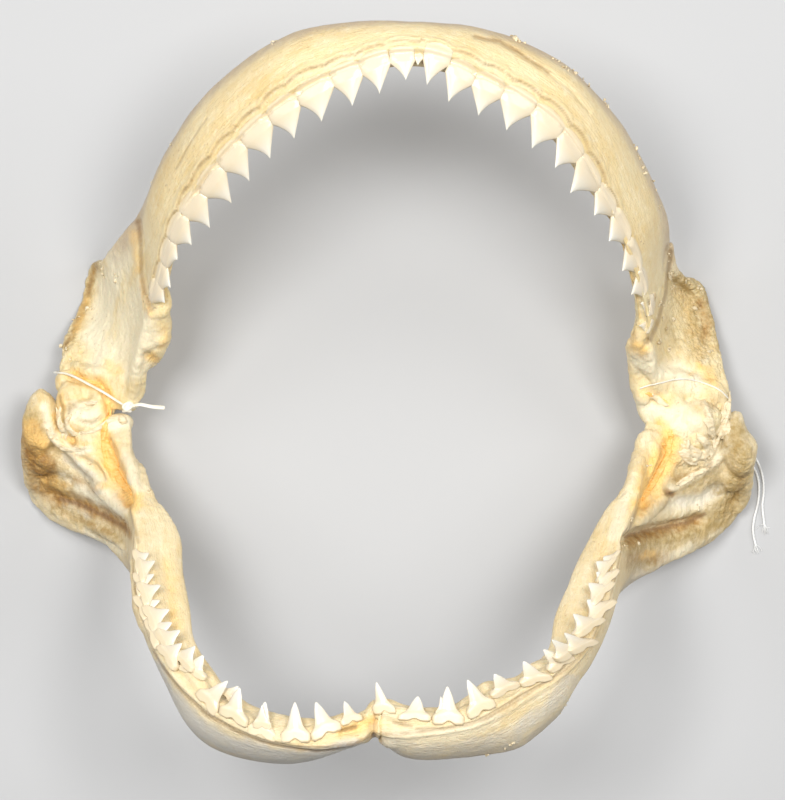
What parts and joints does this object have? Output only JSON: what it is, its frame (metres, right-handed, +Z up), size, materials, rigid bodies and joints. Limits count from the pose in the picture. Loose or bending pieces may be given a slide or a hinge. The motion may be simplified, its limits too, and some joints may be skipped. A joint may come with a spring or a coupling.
{
  "type": "shark jaw",
  "caption": "Dried shark jaw with its teeth, lying open on its joints: two arched halves above and below a round mouth, flared plates and tied joints at the sides.",
  "frame": {"origin": "centre of the jaw's outline, on the surface that it lies on, without the string and its knot", "axes": "+X toward the picture's right, +Y toward the upper jaw, +Z up toward the camera, with the mouth open upward"},
  "size_m": [0.3161, 0.2864, 0.1488],
  "materials": {
    "cartilage_upper": "dried cartilage, waxy cream with amber stains, satin",
    "cartilage_lower": "dried cartilage, cream with grey and brown stains, satin",
    "tooth_enamel": "white enamel, pinkish near the root, glossy",
    "ligament": "dried ligament, amber, fibrous",
    "nylon": "clear nylon line, yellowed",
    "cotton": "white twisted cotton string, frayed at the ends"
  },
  "bodies": {
    "root": {"upper_jaw_left": "cartilage_upper", "upper_jaw_right": "cartilage_upper", "lower_jaw_left": "cartilage_lower", "lower_jaw_right": "cartilage_lower", "joint_ligament_left": "ligament", "joint_ligament_right": "ligament", "nylon_tie_left": "nylon", "thin_line_right": "nylon", "string_knot_right": "cotton", "string_end_long": "cotton", "string_end_short": "cotton"}
  },
  "joints": []
}
